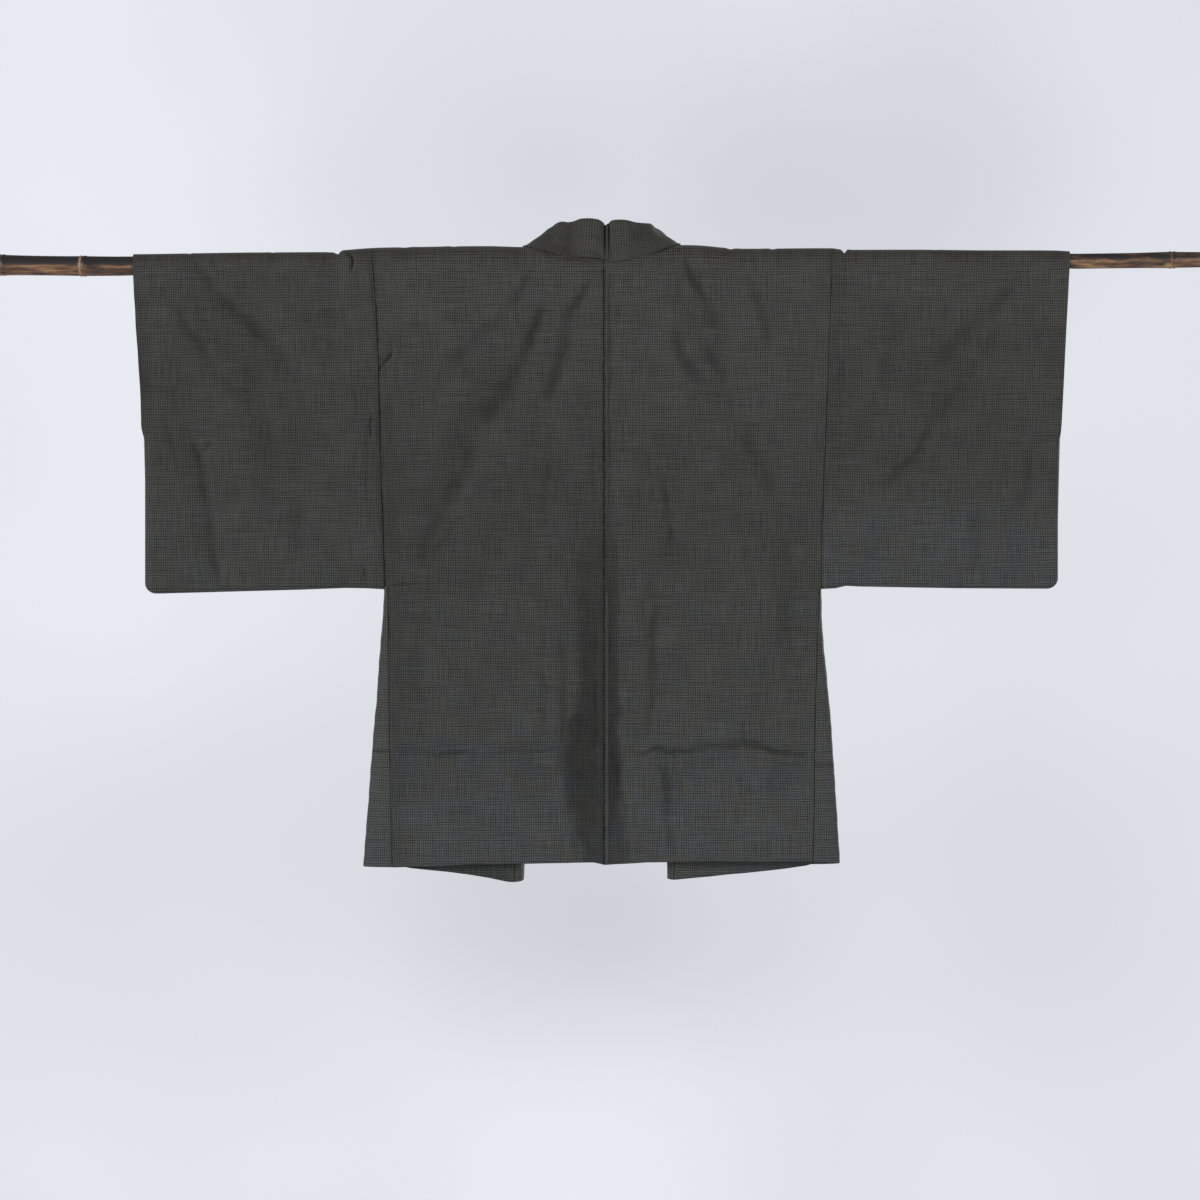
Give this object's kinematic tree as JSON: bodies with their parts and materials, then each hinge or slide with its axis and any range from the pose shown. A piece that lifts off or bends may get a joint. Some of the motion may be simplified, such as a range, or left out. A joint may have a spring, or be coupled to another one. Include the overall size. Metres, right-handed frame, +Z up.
{
  "type": "haori jacket on a bamboo pole",
  "caption": "Short wide-sleeved haori jacket of dark checked cloth, hung flat and open in front on a bamboo pole that runs through both sleeves.",
  "frame": {"origin": "on the pole's axis at the middle of the neck, where the pole carries the jacket", "axes": "+X along the pole towards its thin end, +Y out of the jacket's open front, so its back faces -Y, +Z up"},
  "size_m": [1.82, 0.0963, 0.9473],
  "materials": {
    "cloth": "matt charcoal silk with a fine woven check of light dots",
    "collar_cloth": "the same charcoal silk, sewn double",
    "bamboo": "smoked bamboo, brown mottled with black, half gloss"
  },
  "bodies": {
    "root": {"body_left": "cloth", "body_right": "cloth", "sleeve_left": "cloth", "sleeve_right": "cloth", "gusset_left": "cloth", "gusset_right": "cloth", "collar": "collar_cloth", "pole": "bamboo"}
  },
  "joints": []
}
